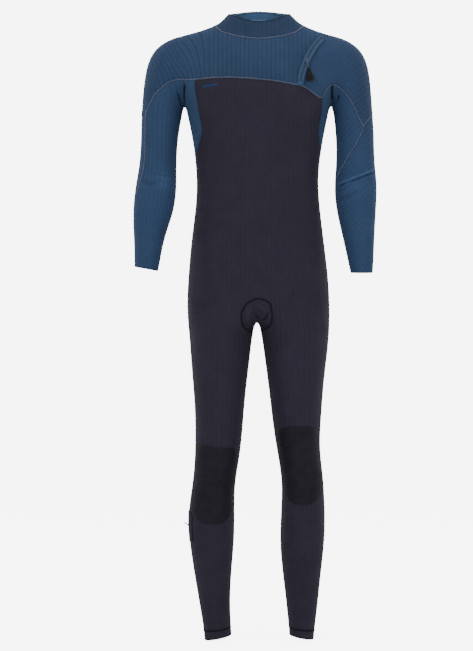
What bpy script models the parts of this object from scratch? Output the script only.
"""Full-length chest-zip wetsuit, filled out as it is worn, as separate neoprene panels and hardware.

Units are metres, +Z up. The suit faces -Y, so the wearer's left side is at +X. The origin is on the floor
plane, under the middle of the suit's width. Every panel is cut from one smooth body form and given the
neoprene's thickness.
"""

import math

import bmesh
import bpy
import numpy as np
from mathutils import Quaternion, Vector
from mathutils.bvhtree import BVHTree

# ---------------------------------------------------------------- driving dimensions
TORSO_COLUMNS = 16  # cage points round the torso
LIMB_COLUMNS = 12  # cage points round an arm or a leg
NEOPRENE = 0.003

# A smooth surface over a ring of n points lies inside the ring by this share.
def ring_growth(count):
    return 3 / (2 + math.cos(2 * math.pi / count))


# ---------------------------------------------------------------- the body form
# Torso rings from the hips up: heights at the front, side and back; the right and left edges seen from the
# front; the front and back seen from the side; how square the ring is (1 is an ellipse, less is squarer).
TORSO_RINGS = {
    "crotch": (0.775, 0.775, 0.785, -0.156, 0.174, -0.096, 0.112, 0.92),
    "seat": (0.860, 0.860, 0.860, -0.151, 0.168, -0.101, 0.120, 0.92),
    "hips": (0.950, 0.950, 0.950, -0.142, 0.156, -0.100, 0.100, 0.92),
    "waist": (1.050, 1.050, 1.050, -0.129, 0.143, -0.098, 0.082, 0.90),
    "ribs": (1.145, 1.145, 1.145, -0.139, 0.154, -0.110, 0.096, 0.88),
    "armpit": (1.235, 1.232, 1.240, -0.158, 0.173, -0.121, 0.112, 0.85),
    "chest": (1.295, 1.300, 1.310, -0.150, 0.164, -0.117, 0.117, 0.80),
    "shoulder": (1.345, 1.401, 1.378, -0.150, 0.166, -0.098, 0.108, 0.80),
    "neck_base": (1.381, 1.420, 1.428, -0.087, 0.109, -0.076, 0.070, 1.0),
    "collar_middle": (1.402, 1.435, 1.445, -0.071, 0.093, -0.069, 0.062, 1.0),
    "collar_top": (1.420, 1.447, 1.460, -0.060, 0.081, -0.062, 0.058, 1.0),
}
ARMHOLE_ROWS = ("armpit", "chest", "shoulder")
ARMHOLE_COLUMNS = (2, 3, 4, 5, 6)  # from the front of the armhole round its side to the back

# Limb rings: the outer and the inner edge seen from the front, each as (x, z), and the front and back in y.
RIGHT_ARM_RINGS = (
    ((-0.196, 1.389), (-0.163, 1.246), -0.076, 0.080),
    ((-0.236, 1.362), (-0.164, 1.237), -0.069, 0.074),
    ((-0.254, 1.312), (-0.165, 1.229), -0.060, 0.067),
    ((-0.260, 1.235), (-0.167, 1.215), -0.053, 0.060),
    ((-0.262, 1.165), (-0.177, 1.165), -0.047, 0.055),
    ((-0.265, 1.100), (-0.181, 1.100), -0.044, 0.050),
    ((-0.275, 1.045), (-0.182, 1.045), -0.048, 0.046),
    ((-0.281, 0.985), (-0.192, 0.985), -0.056, 0.036),
    ((-0.277, 0.925), (-0.209, 0.925), -0.058, 0.022),
    ((-0.276, 0.880), (-0.217, 0.875), -0.058, 0.009),
    ((-0.276, 0.862), (-0.221, 0.852), -0.058, 0.003),
)
LEFT_ARM_RINGS = (
    ((0.209, 1.390), (0.178, 1.246), -0.076, 0.080),
    ((0.250, 1.362), (0.179, 1.237), -0.069, 0.074),
    ((0.266, 1.312), (0.180, 1.229), -0.060, 0.067),
    ((0.272, 1.235), (0.183, 1.215), -0.053, 0.060),
    ((0.276, 1.165), (0.189, 1.165), -0.047, 0.055),
    ((0.276, 1.110), (0.190, 1.110), -0.044, 0.050),
    ((0.281, 1.045), (0.183, 1.045), -0.048, 0.046),
    ((0.280, 0.985), (0.190, 0.985), -0.056, 0.036),
    ((0.276, 0.925), (0.204, 0.925), -0.060, 0.020),
    ((0.273, 0.875), (0.215, 0.875), -0.060, 0.005),
    ((0.271, 0.848), (0.221, 0.848), -0.060, -0.001),
)
RIGHT_LEG_RINGS = (
    ((-0.151, 0.712), (-0.005, 0.712), -0.084, 0.098),
    ((-0.146, 0.650), (-0.012, 0.650), -0.085, 0.084),
    ((-0.140, 0.575), (-0.020, 0.575), -0.080, 0.072),
    ((-0.136, 0.500), (-0.027, 0.500), -0.073, 0.062),
    ((-0.137, 0.430), (-0.033, 0.430), -0.070, 0.053),
    ((-0.142, 0.365), (-0.046, 0.365), -0.066, 0.050),
    ((-0.152, 0.300), (-0.047, 0.300), -0.056, 0.060),
    ((-0.152, 0.240), (-0.046, 0.240), -0.049, 0.068),
    ((-0.140, 0.165), (-0.054, 0.165), -0.041, 0.058),
    ((-0.128, 0.090), (-0.057, 0.090), -0.036, 0.044),
    ((-0.117, 0.030), (-0.055, 0.035), -0.037, 0.038),
    ((-0.115, 0.002), (-0.053, 0.014), -0.039, 0.038),
)
LEFT_LEG_RINGS = (
    ((0.172, 0.712), (0.016, 0.712), -0.084, 0.098),
    ((0.166, 0.650), (0.025, 0.650), -0.085, 0.084),
    ((0.158, 0.575), (0.034, 0.575), -0.080, 0.072),
    ((0.152, 0.500), (0.043, 0.500), -0.073, 0.062),
    ((0.150, 0.440), (0.051, 0.440), -0.070, 0.053),
    ((0.159, 0.375), (0.064, 0.375), -0.066, 0.050),
    ((0.163, 0.310), (0.063, 0.310), -0.056, 0.060),
    ((0.162, 0.240), (0.058, 0.240), -0.049, 0.068),
    ((0.154, 0.165), (0.064, 0.165), -0.041, 0.058),
    ((0.146, 0.090), (0.074, 0.090), -0.036, 0.044),
    ((0.139, 0.030), (0.080, 0.035), -0.037, 0.038),
    ((0.137, 0.004), (0.080, 0.014), -0.039, 0.038),
)
# The three cage points that run under the crotch, front to back.
CROTCH_POINTS = ((0.006, -0.050, 0.747), (0.006, 0.005, 0.741), (0.006, 0.060, 0.751))


def torso_ring(station):
    """The cage points of one torso ring, from the front centre round over the wearer's left."""
    z_front, z_side, z_back, right, left, front, back, squareness = station
    grow = ring_growth(TORSO_COLUMNS)
    middle_x, half_width = (left + right) / 2, (left - right) / 2 * grow
    middle_y, half_depth = (front + back) / 2, (back - front) / 2 * grow
    points = []
    for column in range(TORSO_COLUMNS):
        angle = 2 * math.pi * column / TORSO_COLUMNS
        across, along = math.sin(angle), -math.cos(angle)
        end = z_front if along < 0 else z_back
        height = end + (z_side - end) * across**2
        x = middle_x + half_width * math.copysign(abs(across) ** squareness, across)
        y = middle_y + half_depth * math.copysign(abs(along) ** squareness, along)
        points.append((x, y, height))
    return points


def limb_ring(outer, inner, front, back, first_angle):
    """The cage points of one limb ring. Angle 0 is the outer edge, a quarter turn on is the front."""
    grow = ring_growth(LIMB_COLUMNS)
    outer, inner = Vector((outer[0], 0, outer[1])), Vector((inner[0], 0, inner[1]))
    middle, reach = (outer + inner) / 2, (outer - inner) / 2 * grow
    middle_y, half_depth = (front + back) / 2, (back - front) / 2 * grow
    points = []
    for column in range(LIMB_COLUMNS):
        angle = first_angle + 2 * math.pi * column / LIMB_COLUMNS
        point = middle + reach * math.cos(angle)
        point.y = middle_y - half_depth * math.sin(angle)
        points.append(point)
    return points


def add_limb(cage, root, rings, first_angle):
    """Sews a limb's rings to the root loop of the torso and to each other."""
    loops = [root]
    for ring in rings:
        loops.append([cage.verts.new(point) for point in limb_ring(*ring, first_angle)])
    for upper, lower in zip(loops, loops[1:]):
        for column in range(LIMB_COLUMNS):
            after = (column + 1) % LIMB_COLUMNS
            cage.faces.new((upper[column], upper[after], lower[after], lower[column]))


def suit_cage():
    """The control cage of the whole suit: a torso tube with two arms and two legs grown out of it."""
    cage = bmesh.new()
    names = list(TORSO_RINGS)
    rows = [[cage.verts.new(p) for p in torso_ring(TORSO_RINGS[name])] for name in names]
    armhole_rows = [names.index(name) for name in ARMHOLE_ROWS]
    first, last = ARMHOLE_COLUMNS[0], ARMHOLE_COLUMNS[-1]
    mirrored = TORSO_COLUMNS - last, TORSO_COLUMNS - first
    for row in range(len(rows) - 1):
        for column in range(TORSO_COLUMNS):
            beside_arm = first <= column < last or mirrored[0] <= column < mirrored[1]
            if beside_arm and armhole_rows[0] <= row < armhole_rows[-1]:
                continue
            after = (column + 1) % TORSO_COLUMNS
            lower, upper = rows[row], rows[row + 1]
            cage.faces.new((lower[column], lower[after], upper[after], upper[column]))

    bottom, middle, top = (rows[row] for row in armhole_rows)
    left_loop = [top[4], top[3], top[2], middle[2], bottom[2], bottom[3]]
    left_loop += [bottom[4], bottom[5], bottom[6], middle[6], top[6], top[5]]
    right_loop = [top[12], top[13], top[14], middle[14], bottom[14], bottom[13]]
    right_loop += [bottom[12], bottom[11], bottom[10], middle[10], top[10], top[11]]
    add_limb(cage, left_loop, LEFT_ARM_RINGS, 0.0)
    add_limb(cage, right_loop, RIGHT_ARM_RINGS, 0.0)

    hips = rows[0]
    crotch = [cage.verts.new(point) for point in CROTCH_POINTS]
    left_root = hips[0:9] + [crotch[2], crotch[1], crotch[0]]
    right_root = [hips[0]] + hips[:7:-1] + [crotch[2], crotch[1], crotch[0]]
    # The root loop starts at the front centre, two columns on from the limb's inner edge.
    front_centre = math.pi - 2 * (2 * math.pi / LIMB_COLUMNS)
    for root, rings in ((left_root, LEFT_LEG_RINGS), (right_root, RIGHT_LEG_RINGS)):
        loops = [root] + [
            [cage.verts.new(point) for point in leg_ring(ring, front_centre)] for ring in rings
        ]
        for upper, lower in zip(loops, loops[1:]):
            for column in range(LIMB_COLUMNS):
                after = (column + 1) % LIMB_COLUMNS
                cage.faces.new((upper[column], upper[after], lower[after], lower[column]))
    bmesh.ops.recalc_face_normals(cage, faces=cage.faces)
    return cage


def leg_ring(ring, first_angle):
    """A leg ring in the order of its root loop: from the front centre to the outer edge, then the back."""
    points = limb_ring(*ring, 0.0)
    start = round(first_angle / (2 * math.pi / LIMB_COLUMNS))
    return [points[(start - column) % LIMB_COLUMNS] for column in range(LIMB_COLUMNS)]


def smooth_form(levels):
    """The suit's outer surface as a mesh, with points where endless subdivision would put them."""
    mesh = bpy.data.meshes.new("suit_form")
    suit_cage().to_mesh(mesh)
    form = bpy.data.objects.new("suit_form", mesh)
    bpy.context.scene.collection.objects.link(form)
    subdivide = form.modifiers.new("smooth", "SUBSURF")
    subdivide.levels = subdivide.render_levels = levels
    graph = bpy.context.evaluated_depsgraph_get()
    smooth = bpy.data.meshes.new_from_object(form.evaluated_get(graph))
    bpy.data.objects.remove(form)
    return smooth


# ---------------------------------------------------------------- seam lines
class Line:
    """A smooth seam line through a few points of a flat view, such as (x, z) seen from the front."""

    def __init__(self, axes, points, closed=False):
        self.axes = axes
        self.closed = closed
        knots = np.array(points, float)
        if closed:
            knots = np.vstack([knots[-1], knots, knots[:2]])
        else:
            knots = np.vstack([2 * knots[0] - knots[1], knots, 2 * knots[-1] - knots[-2]])
        steps = np.linspace(0, 1, 7)[:-1, None]
        pieces = []
        for a, b, c, d in zip(knots, knots[1:], knots[2:], knots[3:]):
            bend = 2 * a - 5 * b + 4 * c - d, 3 * b - a - 3 * c + d
            pieces.append(b + (c - a) * steps / 2 + bend[0] * steps**2 / 2 + bend[1] * steps**3 / 2)
        self.samples = np.vstack([*pieces, knots[-2]])

    def side(self, point):
        """The distance from the line, positive on the left of its direction."""
        flat = np.array([point[self.axes[0]], point[self.axes[1]]])
        starts, ends = self.samples[:-1], self.samples[1:]
        along = ends - starts
        away = flat - starts
        share = (away * along).sum(1) / np.maximum((along**2).sum(1), 1e-12)
        lowest = np.zeros(len(share))
        highest = np.ones(len(share))
        if not self.closed:
            lowest[0], highest[-1] = -np.inf, np.inf
        nearest = along * np.clip(share, lowest, highest)[:, None]
        distance = np.linalg.norm(away - nearest, axis=1)
        best = distance.argmin()
        turn = along[best, 0] * away[best, 1] - along[best, 1] * away[best, 0]
        return math.copysign(distance[best], turn)


# The right side panel and the left one differ in front; both run from the armpit to the waist and back up.
SIDE_PANEL_BACK = (
    (0.012, 1.114),
    (0.040, 1.130),
    (0.062, 1.165),
    (0.078, 1.210),
    (0.085, 1.260),
    (0.088, 1.340),
)
RIGHT_SIDE_PANEL_FRONT = (
    (-0.088, 1.340),
    (-0.087, 1.288),
    (-0.082, 1.242),
    (-0.077, 1.211),
    (-0.074, 1.175),
    (-0.063, 1.152),
    (-0.044, 1.131),
    (-0.020, 1.117),
)
LEFT_SIDE_PANEL_FRONT = (
    (-0.085, 1.340),
    (-0.078, 1.260),
    (-0.070, 1.232),
    (-0.063, 1.210),
    (-0.061, 1.184),
    (-0.050, 1.155),
    (-0.020, 1.120),
)
FRONT_VIEW, SIDE_VIEW = (0, 2), (1, 2)
SEAMS = {
    "collar_base": Line(
        SIDE_VIEW, ((-0.078, 1.381), (-0.062, 1.394), (-0.027, 1.414), (0.020, 1.422), (0.070, 1.427))
    ),
    "yoke": Line(
        FRONT_VIEW,
        (
            (-0.200, 1.287),
            (-0.132, 1.287),
            (-0.096, 1.289),
            (-0.055, 1.289),
            (-0.010, 1.286),
            (0.042, 1.281),
            (0.081, 1.275),
            (0.108, 1.270),
            (0.130, 1.258),
            (0.150, 1.245),
            (0.158, 1.252),
            (0.166, 1.269),
            (0.177, 1.275),
            (0.200, 1.276),
        ),
    ),
    "back_yoke": Line(
        FRONT_VIEW,
        ((-0.200, 1.285), (-0.100, 1.272), (0.007, 1.262), (0.110, 1.272), (0.200, 1.285)),
    ),
    "right_side_panel": Line(SIDE_VIEW, RIGHT_SIDE_PANEL_FRONT + SIDE_PANEL_BACK),
    "left_side_panel": Line(SIDE_VIEW, LEFT_SIDE_PANEL_FRONT + SIDE_PANEL_BACK),
    "zip": Line(
        FRONT_VIEW,
        ((0.103, 1.274), (0.108, 1.294), (0.117, 1.322), (0.133, 1.355), (0.153, 1.381), (0.170, 1.395)),
    ),
    "right_underarm": Line(
        FRONT_VIEW,
        (
            (-0.140, 1.286),
            (-0.162, 1.288),
            (-0.190, 1.285),
            (-0.213, 1.270),
            (-0.230, 1.252),
            (-0.242, 1.229),
            (-0.250, 1.206),
            (-0.251, 1.126),
            (-0.255, 1.084),
            (-0.268, 1.039),
        ),
    ),
    "left_underarm": Line(
        FRONT_VIEW,
        (
            (0.160, 1.262),
            (0.170, 1.272),
            (0.186, 1.275),
            (0.209, 1.256),
            (0.225, 1.232),
            (0.240, 1.200),
            (0.248, 1.182),
            (0.234, 1.147),
            (0.213, 1.113),
            (0.195, 1.080),
        ),
    ),
    "left_shoulder_cap": Line(
        FRONT_VIEW,
        ((0.160, 1.172), (0.235, 1.177), (0.250, 1.186), (0.268, 1.212), (0.285, 1.240)),
    ),
    "crotch_gusset": Line(
        FRONT_VIEW,
        (
            (0.005, 0.712),
            (-0.022, 0.722),
            (-0.030, 0.747),
            (-0.022, 0.772),
            (-0.004, 0.785),
            (0.013, 0.788),
            (0.033, 0.779),
            (0.039, 0.761),
            (0.036, 0.728),
        ),
        closed=True,
    ),
    "right_knee_pad": Line(
        FRONT_VIEW,
        (
            (-0.131, 0.444),
            (-0.114, 0.454),
            (-0.088, 0.448),
            (-0.043, 0.440),
            (-0.044, 0.372),
            (-0.053, 0.300),
            (-0.075, 0.276),
            (-0.101, 0.274),
            (-0.128, 0.282),
            (-0.140, 0.310),
            (-0.137, 0.373),
        ),
        closed=True,
    ),
    "left_knee_pad": Line(
        FRONT_VIEW,
        (
            (0.056, 0.480),
            (0.064, 0.493),
            (0.094, 0.496),
            (0.129, 0.495),
            (0.146, 0.482),
            (0.152, 0.430),
            (0.155, 0.350),
            (0.132, 0.322),
            (0.090, 0.321),
            (0.072, 0.338),
            (0.066, 0.372),
            (0.058, 0.430),
        ),
        closed=True,
    ),
    "key_pocket": Line(
        SIDE_VIEW,
        (
            (-0.026, 0.296),
            (0.000, 0.299),
            (0.026, 0.296),
            (0.030, 0.262),
            (0.022, 0.232),
            (-0.018, 0.232),
            (-0.026, 0.262),
        ),
        closed=True,
    ),
    "right_wrist_seal": Line(FRONT_VIEW, ((-0.290, 0.884), (-0.200, 0.870))),
    "left_wrist_seal": Line(FRONT_VIEW, ((0.200, 0.868), (0.290, 0.868))),
    "right_ankle_seal": Line(FRONT_VIEW, ((-0.130, 0.022), (-0.040, 0.034))),
    "left_ankle_seal": Line(FRONT_VIEW, ((0.060, 0.034), (0.150, 0.024))),
}


# ---------------------------------------------------------------- joints
# Each limb swings about an axis along X. Seen from the side, the firm parts above and below a joint meet on
# one line behind (or, at the knee, in front of) the axis, and leave a wedge on the folding side for a panel
# that flexes.
RIGHT_ARMHOLE_X, LEFT_ARMHOLE_X = -0.1605, 0.1765
MIDDLE_X = 0.006
SIDE_SEAM_Y = 0.005
ELBOW = (-0.005, 1.065)
HIP = (-0.010, 0.820)
RIGHT_KNEE, LEFT_KNEE = (SIDE_SEAM_Y, 0.400), (SIDE_SEAM_Y, 0.425)
ELBOW_WEDGE, HIP_WEDGE, KNEE_WEDGE = (60, 60), (32, 42), (57, 57)
FOLDS_FORWARD, FOLDS_BACKWARD = -1, 1


def above_wedge(point, pivot, wedge, direction):
    """Positive above the wedge that a joint leaves on its folding side."""
    reach = max(0.0, (point[1] - pivot[0]) * direction)
    return point[2] - pivot[1] - reach * math.tan(math.radians(wedge[0]))


def below_wedge(point, pivot, wedge, direction):
    """Positive below that wedge."""
    reach = max(0.0, (point[1] - pivot[0]) * direction)
    return pivot[1] - point[2] - reach * math.tan(math.radians(wedge[1]))


# ---------------------------------------------------------------- cutting the form into panels
ON_THE_LINE = 0.0012  # a point nearer than this to a cut counts as on it


def crossing(start, end, field):
    """Where along an edge a field passes through zero."""
    low, high = 0.0, 1.0
    at_start = field(start)
    for _ in range(12):
        middle = (low + high) / 2
        if (field(start.lerp(end, middle)) > 0) == (at_start > 0):
            low = middle
        else:
            high = middle
    return (low + high) / 2


class Skin:
    """The body form, divided step by step into named panels."""

    def __init__(self, mesh):
        self.cells = bmesh.new()
        self.cells.from_mesh(mesh)
        self.label = self.cells.faces.layers.int.new("panel")
        self.names = ["suit"]

    def faces_of(self, name):
        number = self.names.index(name)
        return [face for face in self.cells.faces if face[self.label] == number]

    def divide(self, whole, part, field):
        """Cuts a panel where the field is zero, and gives the positive side a name of its own."""
        faces = self.faces_of(whole)
        value = {}
        for corner in {v for face in faces for v in face.verts}:
            found = field(corner.co)
            value[corner] = 0.0 if abs(found) < ON_THE_LINE else found
        for edge in {e for face in faces for e in face.edges}:
            start, end = edge.verts
            if value[start] * value[end] < 0:
                share = crossing(start.co, end.co, field)
                _, added = bmesh.utils.edge_split(edge, start, share)
                value[added] = 0.0
        for face in faces:
            self.split_face(face, value)
        self.names.append(part)
        for face in self.faces_of(whole):
            if max((value[v] for v in face.verts), key=abs) > 0:
                face[self.label] = len(self.names) - 1

    def split_face(self, face, value):
        corners = list(face.verts)
        if min(value[v] for v in corners) >= 0 or max(value[v] for v in corners) <= 0:
            return
        on_line = []
        for index, corner in enumerate(corners):
            if value[corner] == 0:
                ahead = corners[index + 1 :] + corners[:index]
                before = next(value[v] for v in ahead[::-1] if value[v])
                after = next(value[v] for v in ahead if value[v])
                if before * after < 0:
                    on_line.append(corner)
        if len(on_line) == 2:
            bmesh.utils.face_split(face, *on_line)

    def shift_inward(self, faces, gap):
        """How far each corner on a panel's seam moves along the surface, towards the panel's own middle."""
        own = set(faces)
        pulls = {}
        for face in faces:
            middle = face.calc_center_median()
            for edge in face.edges:
                neighbours = [other for other in edge.link_faces if other is not face]
                if not neighbours or neighbours[0] in own:
                    continue
                start, end = edge.verts
                pull = face.normal.cross(end.co - start.co).normalized()
                if pull.dot(middle - start.co) < 0:
                    pull = -pull
                for corner in edge.verts:
                    pulls.setdefault(corner, []).append(pull)
        shifts = {}
        for corner, found in pulls.items():
            total = sum(found, Vector())
            bisector = total.normalized()
            spread = max(0.5, min(bisector.dot(pull) for pull in found))
            shifts[corner] = bisector * gap / 2 / spread
        return shifts

    def panel(self, names, outer, inner, gap, limits=()):
        """A closed sheet over the named panels, between two depths under the form."""
        faces = [face for name in names for face in self.faces_of(name)]
        shifts = self.shift_inward(faces, gap)
        corners = list({v: None for face in faces for v in face.verts})
        sheet = bmesh.new()
        layers = []
        for depth in (outer, inner):
            layer = {}
            for corner in corners:
                place = corner.co + shifts.get(corner, Vector()) - corner.normal * depth
                for axis, sign, limit in limits:
                    if (place[axis] - limit) * sign < 0:
                        place[axis] = limit
                layer[corner] = sheet.verts.new(place)
            layers.append(layer)
        top, bottom = layers
        own = set(faces)
        for face in faces:
            sheet.faces.new([top[v] for v in face.verts])
            sheet.faces.new([bottom[v] for v in reversed(face.verts)])
            for loop in face.loops:
                if any(other is not face and other in own for other in loop.edge.link_faces):
                    continue
                start, end = loop.vert, loop.link_loop_next.vert
                sheet.faces.new((top[end], top[start], bottom[start], bottom[end]))
        return sheet


def left_of(name):
    """A field that is positive on the left of a seam line: above a line that runs towards +X."""
    return SEAMS[name].side


def right_of(name):
    """The opposite field, which is positive inside the closed outlines."""
    return lambda point: -SEAMS[name].side(point)


def divided_skin(form):
    """Cuts the form at the joints and along the seams. A panel keeps what no later cut takes."""
    skin = Skin(form)
    skin.divide("suit", "right_arm", lambda p: RIGHT_ARMHOLE_X - p.x)
    skin.divide("suit", "left_arm", lambda p: p.x - LEFT_ARMHOLE_X)
    skin.divide("suit", "crotch_gusset", right_of("crotch_gusset"))
    skin.divide("suit", "torso", lambda p: above_wedge(p, HIP, HIP_WEDGE, FOLDS_FORWARD))
    skin.divide("suit", "legs", lambda p: below_wedge(p, HIP, HIP_WEDGE, FOLDS_FORWARD))
    skin.divide("suit", "right_front_hip_panel", lambda p: MIDDLE_X - p.x)
    skin.divide("suit", "left_front_hip_panel", lambda p: p.x - MIDDLE_X)
    skin.divide("legs", "right_leg", lambda p: MIDDLE_X - p.x)
    skin.divide("legs", "left_leg", lambda p: p.x - MIDDLE_X)
    divide_torso(skin)
    divide_arms(skin)
    for side, knee in (("right", RIGHT_KNEE), ("left", LEFT_KNEE)):
        divide_leg(skin, side, knee)
    return skin


def divide_torso(skin):
    skin.divide("torso", "collar", left_of("collar_base"))
    skin.divide("torso", "upper_back_panel", lambda p: min(p.y - SIDE_SEAM_Y, SEAMS["back_yoke"].side(p)))
    skin.divide("torso", "chest_yoke", lambda p: min(SIDE_SEAM_Y - p.y, SEAMS["yoke"].side(p)))
    right_front, left_front = SEAMS["right_side_panel"], SEAMS["left_side_panel"]
    skin.divide("torso", "right_side_panel", lambda p: min(MIDDLE_X - p.x, right_front.side(p)))
    skin.divide("torso", "left_side_panel", lambda p: min(p.x - MIDDLE_X, left_front.side(p)))
    skin.divide("torso", "back_body_panel", lambda p: p.y - SIDE_SEAM_Y)
    skin.divide("torso", "front_body_panel", lambda p: 1.0)
    skin.divide("chest_yoke", "left_shoulder_panel", right_of("zip"))


def divide_arms(skin):
    for side in ("right", "left"):
        arm = side + "_arm"
        skin.divide(arm, side + "_wrist_seal", right_of(side + "_wrist_seal"))
        elbow = (ELBOW, ELBOW_WEDGE, FOLDS_FORWARD)
        skin.divide(arm, side + "_upper_arm", lambda p, fold=elbow: above_wedge(p, *fold))
        skin.divide(arm, side + "_forearm_panel", lambda p, fold=elbow: below_wedge(p, *fold))
        skin.divide(arm, side + "_elbow_crook_panel", lambda p: 1.0)
    skin.divide("right_upper_arm", "right_underarm_panel", left_of("right_underarm"))
    skin.divide("right_upper_arm", "right_outer_sleeve", lambda p: 1.0)
    skin.divide("left_upper_arm", "left_underarm_panel", right_of("left_underarm"))
    skin.divide("left_upper_arm", "left_shoulder_cap", left_of("left_shoulder_cap"))
    skin.divide("left_upper_arm", "left_outer_sleeve", lambda p: 1.0)


def divide_leg(skin, side, knee):
    leg = side + "_leg"
    skin.divide(leg, side + "_ankle_seal", right_of(side + "_ankle_seal"))
    skin.divide(leg, side + "_leg_back", lambda p: p.y - SIDE_SEAM_Y)
    skin.divide(leg, side + "_knee_pad", right_of(side + "_knee_pad"))
    skin.divide(leg, side + "_thigh_front", lambda p: p.z - knee[1])
    skin.divide(leg, side + "_shin_panel", lambda p: 1.0)
    back = side + "_leg_back"
    skin.divide(back, side + "_thigh_back", lambda p: above_wedge(p, knee, KNEE_WEDGE, FOLDS_BACKWARD))
    skin.divide(back, side + "_calf_panel", lambda p: below_wedge(p, knee, KNEE_WEDGE, FOLDS_BACKWARD))
    skin.divide(back, side + "_knee_back_panel", lambda p: 1.0)


# ---------------------------------------------------------------- objects and materials
BLUE = (0.026, 0.059, 0.119)
PALE_BLUE = (0.032, 0.072, 0.136)
CHARCOAL = (0.023, 0.023, 0.036)
BLACK = (0.012, 0.012, 0.016)
GREY = (0.30, 0.29, 0.33)
RED = (0.16, 0.02, 0.03)


def material(name, colour, roughness=0.85, metallic=0.0):
    found = bpy.data.materials.get(name)
    if found:
        return found
    made = bpy.data.materials.new(name)
    made.use_nodes = True
    shader = made.node_tree.nodes["Principled BSDF"]
    shader.inputs["Base Color"].default_value = (*colour, 1.0)
    shader.inputs["Roughness"].default_value = roughness
    shader.inputs["Metallic"].default_value = metallic
    return made


def add_object(name, shape, look, origin=(0, 0, 0)):
    """Turns a bmesh in world space into a named object with its origin at a given point."""
    bmesh.ops.translate(shape, verts=shape.verts, vec=-Vector(origin))
    mesh = bpy.data.meshes.new(name)
    shape.to_mesh(mesh)
    shape.free()
    mesh.shade_smooth()
    mesh.set_sharp_from_angle(angle=math.radians(40))
    mesh.materials.append(look)
    made = bpy.data.objects.new(name, mesh)
    made.location = origin
    bpy.context.scene.collection.objects.link(made)
    return made


COLLAR_THICKNESS = 0.0025
LAYER_GAP = 0.0004  # between two layers of cloth
LINING = 0.0018
SHOULDER = (0.004, 1.318)  # (y, z) of both shoulder pivots
SHOULDER_X = {"right": RIGHT_ARMHOLE_X, "left": LEFT_ARMHOLE_X}
PANEL_GAP = 0.0005
GUSSET_GAP = 0.0024  # the crotch is tightly curved, so its panel keeps further off
JOINT_GAP = 0.0004
TORSO_LIMITS = ((0, 1, RIGHT_ARMHOLE_X + JOINT_GAP), (0, -1, LEFT_ARMHOLE_X - JOINT_GAP))
SIDE_LIMITS = {
    "right_arm": ((0, -1, RIGHT_ARMHOLE_X - JOINT_GAP),),
    "left_arm": ((0, 1, LEFT_ARMHOLE_X + JOINT_GAP),),
    "right_leg": ((0, -1, MIDDLE_X - JOINT_GAP),),
    "left_leg": ((0, 1, MIDDLE_X + JOINT_GAP),),
}
TORSO_PANELS = {
    "chest_yoke": ("rib_knit", BLUE),
    "left_shoulder_panel": ("rib_knit", BLUE),
    "upper_back_panel": ("rib_knit", BLUE),
    "right_side_panel": ("side_knit", PALE_BLUE),
    "left_side_panel": ("side_knit", PALE_BLUE),
    "front_body_panel": ("charcoal_knit", CHARCOAL),
    "back_body_panel": ("charcoal_knit", CHARCOAL),
    "crotch_gusset": ("charcoal_knit", CHARCOAL),
}
ARM_PANELS = {
    "right": ("outer_sleeve", "underarm_panel", "elbow_crook_panel", "forearm_panel", "wrist_seal"),
    "left": (
        "shoulder_cap",
        "outer_sleeve",
        "underarm_panel",
        "elbow_crook_panel",
        "forearm_panel",
        "wrist_seal",
    ),
}
LEG_PANELS = {
    "front_hip_panel": ("charcoal_knit", CHARCOAL),
    "thigh_front": ("charcoal_knit", CHARCOAL),
    "thigh_back": ("charcoal_knit", CHARCOAL),
    "knee_pad": ("knee_rubber", BLACK),
    "knee_back_panel": ("charcoal_knit", CHARCOAL),
    "shin_panel": ("charcoal_knit", CHARCOAL),
    "calf_panel": ("charcoal_knit", CHARCOAL),
    "ankle_seal": ("charcoal_knit", CHARCOAL),
}


def add_panels(skin):
    for name, (look, colour) in TORSO_PANELS.items():
        gap = GUSSET_GAP if name == "crotch_gusset" else PANEL_GAP
        shape = skin.panel([name], 0.0, NEOPRENE, gap, TORSO_LIMITS)
        add_object(name, shape, material(look, colour))
    shape = skin.panel(["collar"], 0.0, COLLAR_THICKNESS, PANEL_GAP)
    add_object("collar", shape, material("rib_knit", BLUE))
    inner = COLLAR_THICKNESS + LAYER_GAP
    shape = skin.panel(["collar"], inner, inner + LINING, PANEL_GAP)
    add_object("collar_lining", shape, material("side_knit", PALE_BLUE))
    for side, panels in ARM_PANELS.items():
        pivot = (SHOULDER_X[side], *SHOULDER)
        for panel in panels:
            name = side + "_" + panel
            shape = skin.panel([name], 0.0, NEOPRENE, PANEL_GAP, SIDE_LIMITS[side + "_arm"])
            below_elbow = panel in ("forearm_panel", "wrist_seal")
            origin = (SHOULDER_X[side], *ELBOW) if below_elbow else pivot
            add_object(name, shape, material("rib_knit", BLUE), origin)
    for side, knee in (("right", RIGHT_KNEE), ("left", LEFT_KNEE)):
        for panel, (look, colour) in LEG_PANELS.items():
            name = side + "_" + panel
            shape = skin.panel([name], 0.0, NEOPRENE, PANEL_GAP, SIDE_LIMITS[side + "_leg"])
            below_knee = panel in ("shin_panel", "calf_panel", "ankle_seal")
            origin = (MIDDLE_X, *knee) if below_knee else (MIDDLE_X, *HIP)
            add_object(name, shape, material(look, colour), origin)


# ---------------------------------------------------------------- zip
# The zip's track is an arc of a circle through three points over the wearer's left breast and shoulder.
ZIP_POINTS = ((0.104, -0.103, 1.276), (0.120, -0.088, 1.332), (0.153, -0.057, 1.381))
ZIP_LIFT = 0.0030
REST_SHARE = 0.42  # where the slider rests, as a share of the track from its lower end
TOOTH_HALF_WIDTH, TOOTH_GAP = 0.0020, 0.0002
TAPE_HALF_WIDTH = 0.0078
TAPE_THICKNESS, TEETH_THICKNESS = 0.0010, 0.0022
SLIDER_HALF_LENGTH = 0.035  # as a share of the track
SLIDER_LOW, SLIDER_INSIDE, SLIDER_TOP = 0.0014, 0.0027, 0.0038
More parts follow.
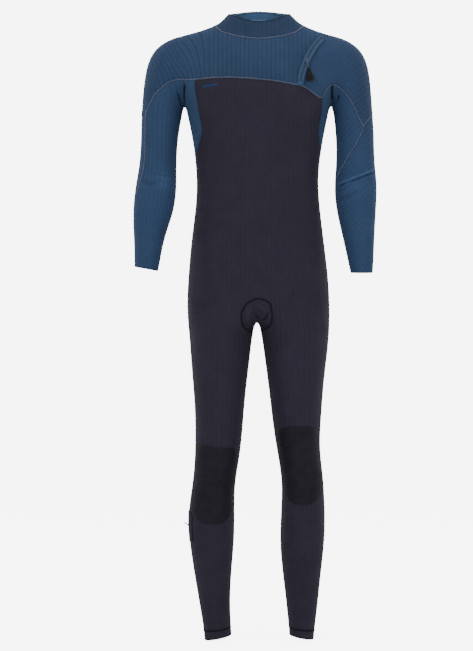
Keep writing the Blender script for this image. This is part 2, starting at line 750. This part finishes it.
# Half of a lip of cloth beside the teeth, as (distance from the track, height) points.
LIP_SECTION = (
    (0.0038, 0.0014),
    (0.0076, 0.0014),
    (0.0074, 0.0025),
    (0.0062, 0.0035),
    (0.0048, 0.0035),
    (0.0038, 0.0026),
)
# Where each piece starts and ends, as shares of the track.
TAPE_SPAN, TEETH_SPAN, LIP_SPAN = (0.038, 1.0), (0.040, 0.99), (0.038, 1.0)
GARAGE_SPAN, END_STOP_SPAN = (-0.035, 0.034), (1.012, 1.05)
GARAGE_HALF_WIDTH, END_STOP_HALF_WIDTH, END_HEIGHT = 0.0070, 0.0045, 0.0034
PULLER_HEIGHT = 0.0048  # of the pull's axis over the track
PULLER_THICKNESS = 0.0022
PULLER_HANG = Vector((0.12, -0.05, -0.99))
CORD_END, CORD_HALF_WIDTH = 0.0185, 0.0010
DROP_MIDDLE, DROP_RADIUS, DROP_NECK = 0.0435, 0.0092, (0.0205, 0.0022)


class Track:
    """A circular arc in space that carries the zip, with a frame at each point: along, across and up."""

    def __init__(self, points, tree):
        on_form = [tree.find_nearest(Vector(p)) for p in points]
        start, middle, end = (found[0] for found in on_form)
        first, second = middle - start, end - middle
        self.axis = first.cross(second).normalized()
        # The centre is where the planes through the two chords' middles meet, in the arc's own plane.
        across_first, across_second = self.axis.cross(first), self.axis.cross(second)
        gap = (middle + end) / 2 - (start + middle) / 2
        share = gap.cross(across_second).dot(self.axis) / across_first.cross(across_second).dot(self.axis)
        self.centre = (start + middle) / 2 + across_first * share
        self.start = start - self.centre
        self.sweep = self.start.angle(end - self.centre)
        self.radius = self.start.length
        tilts = []
        for place, normal, *_ in on_form:
            outward = (place - self.centre).normalized()
            tilts.append(math.atan2(normal.dot(self.axis), normal.dot(outward)))
        self.tilt = sum(tilts) / len(tilts)

    def frame(self, share):
        turn = Quaternion(self.axis, self.sweep * share)
        outward = turn @ self.start.normalized()
        place = self.centre + outward * self.radius
        along = self.axis.cross(outward)
        up = outward * math.cos(self.tilt) + self.axis * math.sin(self.tilt)
        return place + up * ZIP_LIFT, along, up.cross(along), up

    def swept(self, section, first, last, count):
        """A closed solid: a section of (across, up) points carried along a stretch of the track."""
        shape = bmesh.new()
        rings = []
        for index in range(count):
            place, _, across, up = self.frame(first + (last - first) * index / (count - 1))
            rings.append([shape.verts.new(place + across * a + up * u) for a, u in section])
        for here, there in zip(rings, rings[1:]):
            for corner in range(len(section)):
                after = (corner + 1) % len(section)
                shape.faces.new((here[corner], here[after], there[after], there[corner]))
        shape.faces.new(rings[0][::-1])
        shape.faces.new(rings[-1])
        bmesh.ops.recalc_face_normals(shape, faces=shape.faces)
        return shape


def rectangle(left, right, low, high):
    return ((left, low), (right, low), (right, high), (left, high))


def add_zip(track):
    tape = material("zip_tape", BLACK)
    teeth = material("zip_teeth", GREY, 0.35, 0.6)
    inner = TOOTH_HALF_WIDTH + 0.0003
    for name, sign in (("upper", 1), ("lower", -1)):
        ends = sorted((sign * inner, sign * TAPE_HALF_WIDTH))
        shape = track.swept(rectangle(*ends, 0.0, TAPE_THICKNESS), *TAPE_SPAN, 13)
        add_object("zip_tape_" + name, shape, tape)
        ends = sorted((sign * TOOTH_GAP, sign * TOOTH_HALF_WIDTH))
        shape = track.swept(rectangle(*ends, 0.0, TEETH_THICKNESS), *TEETH_SPAN, 13)
        add_object("zip_teeth_" + name, shape, teeth)
    stop = rectangle(-END_STOP_HALF_WIDTH, END_STOP_HALF_WIDTH, 0.0, END_HEIGHT)
    add_object("zip_end_stop", track.swept(stop, *END_STOP_SPAN, 3), teeth)
    garage = rectangle(-GARAGE_HALF_WIDTH, GARAGE_HALF_WIDTH, 0.0, END_HEIGHT)
    add_object("zip_garage", track.swept(garage, *GARAGE_SPAN, 4), material("side_knit", PALE_BLUE))
    for name, sign in (("upper", 1), ("lower", -1)):
        lip = [(sign * across, up) for across, up in LIP_SECTION]
        add_object("zip_lip_" + name, track.swept(lip, *LIP_SPAN, 13), material("rib_knit", BLUE))


def add_slider(track):
    """A channel that straddles the teeth, open below, with its origin on the axis of the track's arc."""
    half, cheek = TOOTH_HALF_WIDTH + 0.0014, TOOTH_HALF_WIDTH + 0.0004
    section = ((-half, SLIDER_LOW), (-cheek, SLIDER_LOW), (-cheek, SLIDER_INSIDE), (cheek, SLIDER_INSIDE))
    section += ((cheek, SLIDER_LOW), (half, SLIDER_LOW), (half, SLIDER_TOP), (-half, SLIDER_TOP))
    shape = track.swept(section, REST_SHARE - SLIDER_HALF_LENGTH, REST_SHARE + SLIDER_HALF_LENGTH, 4)
    add_object("zip_slider", shape, material("zip_teeth", GREY, 0.35, 0.6), track.centre)


def add_puller(track):
    """The pull: a flat drop on a short cord that hangs from the slider."""
    place, _, _, up = track.frame(REST_SHARE)
    top = place + up * PULLER_HEIGHT
    down = (PULLER_HANG - up * PULLER_HANG.dot(up)).normalized()
    across = up.cross(down)
    neck, neck_half = DROP_NECK
    left = [(neck, -neck_half), (CORD_END, -CORD_HALF_WIDTH), (0.0, -CORD_HALF_WIDTH)]
    outline = left + [(down_share, -half) for down_share, half in left[::-1]]
    for angle in (math.pi * k / 6 for k in range(-1, 8)):
        outline.append((DROP_MIDDLE + DROP_RADIUS * math.sin(angle), DROP_RADIUS * math.cos(angle)))
    shape = bmesh.new()
    layers = []
    for height in (0.0, PULLER_THICKNESS):
        layers.append([shape.verts.new(top + down * d + across * a + up * height) for d, a in outline])
    shape.faces.new(layers[0])
    shape.faces.new(layers[1][::-1])
    for index in range(len(outline)):
        after = (index + 1) % len(outline)
        shape.faces.new((layers[0][index], layers[0][after], layers[1][after], layers[1][index]))
    bmesh.ops.recalc_face_normals(shape, faces=shape.faces)
    add_object("zip_puller", shape, material("pull_rubber", BLACK, 0.5), top)


# ---------------------------------------------------------------- small fittings
BACKING_HALF_WIDTH, BACKING_LOW_Z, BACKING_HIGH_X = 0.024, 1.264, 0.168
POCKET_THICKNESS, POCKET_INNER_X = 0.0014, -0.110
CORD_POINT, CORD_RADIUS, CORD_LENGTH = (-0.150, -0.009, 0.267), 0.0012, 0.011
LOOP_X, LOOP_Z = 0.011, 1.436
LOOP_WIDTH, LOOP_HEIGHT, LOOP_THICKNESS = 0.036, 0.008, 0.0014
LOOP_STAND_OFF, LOOP_CLEARANCE = 0.0070, 0.0052
TAG_POINT, TAG_SIZE = (-0.262, -0.014, 1.216), (0.006, 0.010, 0.0008)


def oriented_box(place, across, upright, outward, size):
    """A closed box centred on a place, with its sides along three given directions."""
    shape = bmesh.new()
    bmesh.ops.create_cube(shape, size=1.0)
    for corner in shape.verts:
        a, b, c = (corner.co[axis] * size[axis] for axis in range(3))
        corner.co = place + across * a + upright * b + outward * c
    return shape


def add_zip_backing(form):
    """The watertight flap behind the zip, on the inside of the yoke."""
    skin = Skin(form)
    skin.divide("suit", "band", lambda p: BACKING_HALF_WIDTH - abs(SEAMS["zip"].side(p)))
    skin.divide("band", "front_band", lambda p: -p.y)
    skin.divide("front_band", "upper_band", lambda p: p.z - BACKING_LOW_Z)
    skin.divide("upper_band", "backing", lambda p: BACKING_HIGH_X - p.x)
    outer = NEOPRENE + LAYER_GAP
    shape = skin.panel(["backing"], outer, outer + LINING, PANEL_GAP)
    add_object("zip_backing_panel", shape, material("side_knit", PALE_BLUE))


def add_key_pocket(form, tree):
    """A small stretch pocket on the outside of the right calf, with its pull cord."""
    skin = Skin(form)
    skin.divide("suit", "right_side", lambda p: POCKET_INNER_X - p.x)
    skin.divide("right_side", "pocket", right_of("key_pocket"))
    shape = skin.panel(["pocket"], -LAYER_GAP - POCKET_THICKNESS, -LAYER_GAP, PANEL_GAP)
    add_object("key_pocket", shape, material("charcoal_knit", CHARCOAL), (MIDDLE_X, *RIGHT_KNEE))
    place, normal, *_ = tree.find_nearest(Vector(CORD_POINT))
    along = (normal + Vector((0, 0, 0.7))).normalized()
    start = place + normal * (POCKET_THICKNESS + 2 * LAYER_GAP + CORD_RADIUS)
    across = along.cross(Vector((0, 1, 0))).normalized()
    size = (2 * CORD_RADIUS, 2 * CORD_RADIUS, CORD_LENGTH)
    shape = oriented_box(start + along * CORD_LENGTH / 2, across, along.cross(across), along, size)
    add_object("key_pocket_cord", shape, material("zip_tape", BLACK), (MIDDLE_X, *RIGHT_KNEE))


def add_hang_loop(tree):
    """A webbing loop inside the back of the collar: a flat strap that stands off the lining on two feet."""
    inside, *_ = tree.ray_cast(Vector((LOOP_X, 0, LOOP_Z)), Vector((0, 1, 0)))
    back = inside.y - COLLAR_THICKNESS - LAYER_GAP - LINING - LOOP_CLEARANCE
    front = back - LOOP_STAND_OFF
    half, foot = LOOP_WIDTH / 2, LOOP_THICKNESS
    outline = ((-half, back), (-half, front), (half, front), (half, back), (half - foot, back))
    outline += ((half - foot, front + foot), (foot - half, front + foot), (foot - half, back))
    shape = bmesh.new()
    rings = []
    for height in (LOOP_Z - LOOP_HEIGHT / 2, LOOP_Z + LOOP_HEIGHT / 2):
        rings.append([shape.verts.new((LOOP_X + x, y, height)) for x, y in outline])
    shape.faces.new(rings[0])
    shape.faces.new(rings[1][::-1])
    for index in range(len(outline)):
        after = (index + 1) % len(outline)
        shape.faces.new((rings[0][index], rings[0][after], rings[1][after], rings[1][index]))
    bmesh.ops.recalc_face_normals(shape, faces=shape.faces)
    add_object("hang_loop", shape, material("webbing", BLACK))


def add_side_tag(tree):
    """A small woven tag on the seam of the right sleeve."""
    place, normal, *_ = tree.find_nearest(Vector(TAG_POINT))
    across = normal.cross(Vector((0, 0, 1))).normalized()
    place += normal * (2 * LAYER_GAP + TAG_SIZE[2] / 2)
    shape = oriented_box(place, across, normal.cross(across), normal, TAG_SIZE)
    add_object("side_tag", shape, material("tag", RED), (RIGHT_ARMHOLE_X, *SHOULDER))


def main():
    for old in list(bpy.data.objects):
        bpy.data.objects.remove(old)
    form = smooth_form(1)
    tree = BVHTree.FromPolygons([v.co for v in form.vertices], [p.vertices[:] for p in form.polygons])
    add_panels(divided_skin(form))
    track = Track(ZIP_POINTS, tree)
    add_zip(track)
    add_slider(track)
    add_puller(track)
    add_zip_backing(form)
    add_key_pocket(form, tree)
    add_hang_loop(tree)
    add_side_tag(tree)


main()
